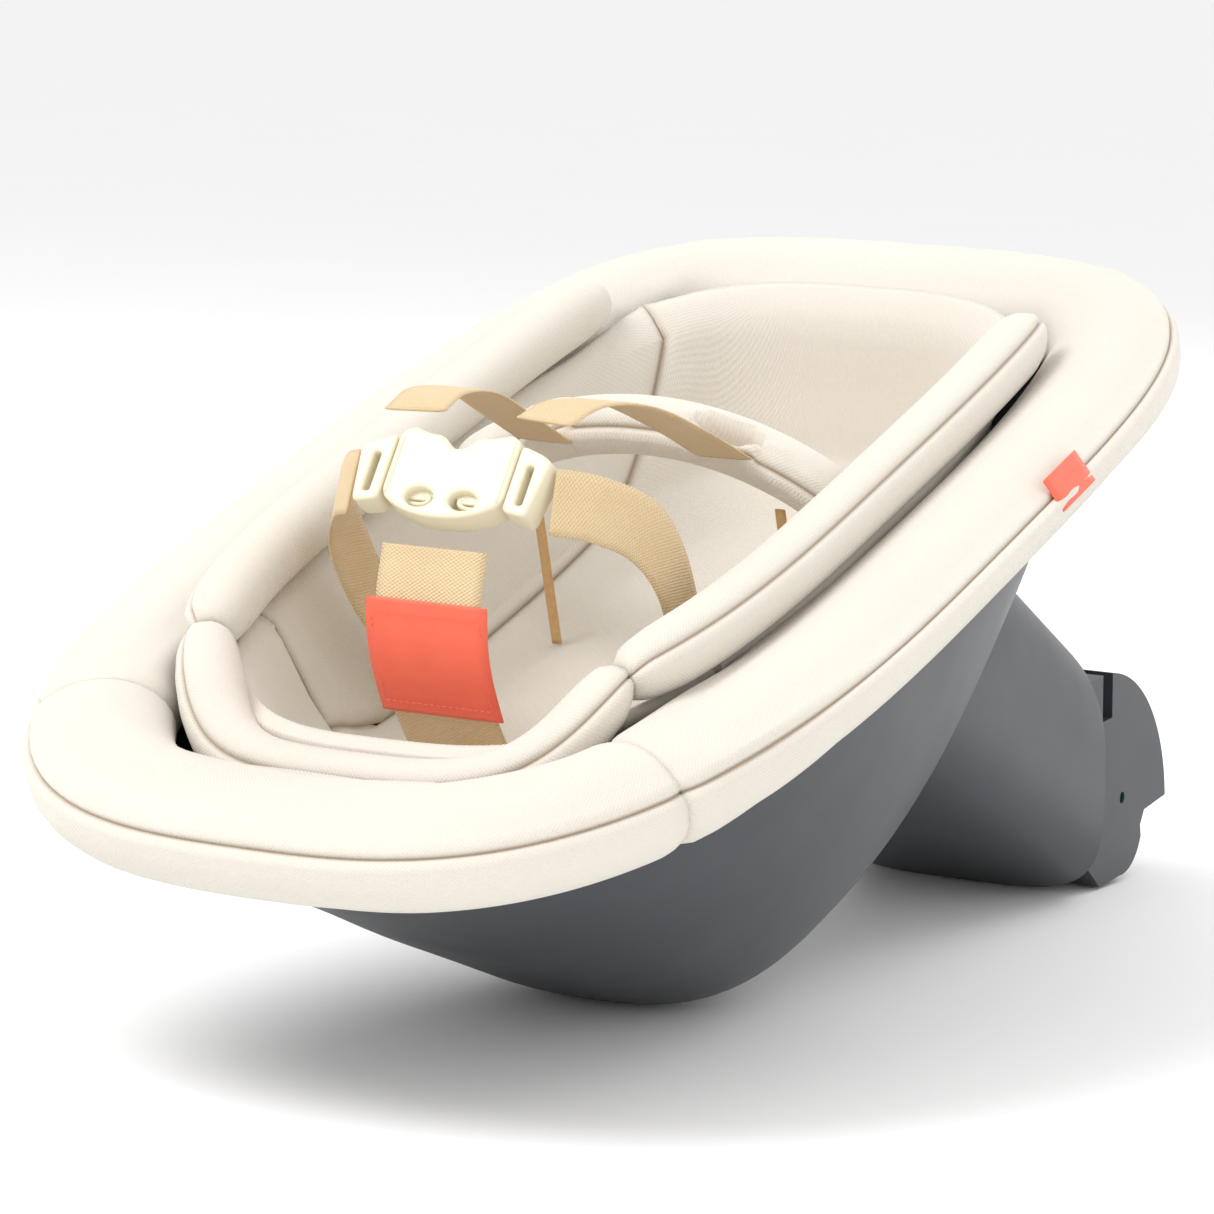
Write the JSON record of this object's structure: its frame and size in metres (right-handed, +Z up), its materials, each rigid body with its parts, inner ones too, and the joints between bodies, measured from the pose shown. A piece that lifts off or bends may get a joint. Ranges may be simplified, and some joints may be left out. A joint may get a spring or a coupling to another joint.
{
  "type": "newborn bouncer seat",
  "caption": "Padded newborn bouncer seat with a five-point harness, a hard bowl shell and a hollow neck whose coupling clicks onto a high chair.",
  "frame": {"origin": "on the floor under the middle of the bounding box, seat standing on the bottom of its bowl and the lower edge of its neck", "axes": "+X across the seat, +Y towards the head end and the coupling, +Z up"},
  "size_m": [0.3776, 0.7829, 0.3285],
  "materials": {
    "shell": "satin moulded",
    "steel": "zinc plated",
    "latch": "satin moulded",
    "indicator": "satin moulded",
    "fabric": "fine woven cover over foam",
    "elastic": "woven elastic",
    "webbing": "woven webbing",
    "label": "woven label",
    "buckle": "satin moulded"
  },
  "bodies": {
    "seat": {"seat_shell": "shell", "neck_housing": "shell", "neck_bulkhead": "shell", "coupling_body": "shell", "rim_frame": "steel", "coupling_screws": "steel", "rim_pad_foot": "fabric", "rim_pad_body": "fabric", "roll_left": "fabric", "roll_right": "fabric", "roll_foot": "fabric", "liner_foot": "fabric", "liner_seat": "fabric", "liner_left": "fabric", "liner_right": "fabric", "shoulder_roll": "fabric", "elastic_loops": "elastic", "crotch_strap": "webbing", "shoulder_strap_left": "webbing", "shoulder_strap_right": "webbing", "waist_strap_left": "webbing", "waist_strap_right": "webbing", "crotch_label": "label", "rim_tab": "label", "buckle_body": "buckle"},
    "latch": {"latch_bolt": "latch", "lock_indicator": "indicator"},
    "button": {"release_button": "latch"},
    "prong_left": {"buckle_prong_left": "buckle"},
    "prong_right": {"buckle_prong_right": "buckle"}
  },
  "joints": [
    {"name": "button_press", "type": "slide", "parent": "seat", "child": "button", "axis": [0, -0.0872, 0.9962], "range_m": [0, 0.006], "stiffness_N_per_m": 400, "springref_m": -0.004},
    {"name": "latch_slide", "type": "slide", "parent": "seat", "child": "latch", "axis": [0, -0.9962, -0.0872], "range_m": [0, 0.012]},
    {"name": "prong_left_pull", "type": "slide", "parent": "seat", "child": "prong_left", "axis": [-1, 0, 0], "range_m": [0, 0.032], "deforming": ["shoulder_strap_left", "waist_strap_left"]},
    {"name": "prong_right_pull", "type": "slide", "parent": "seat", "child": "prong_right", "axis": [1, 0, 0], "range_m": [0, 0.032], "deforming": ["shoulder_strap_right", "waist_strap_right"]}
  ],
  "couplings": [
    {"joint": "latch_slide", "follows": "button_press", "ratio": 2}
  ]
}
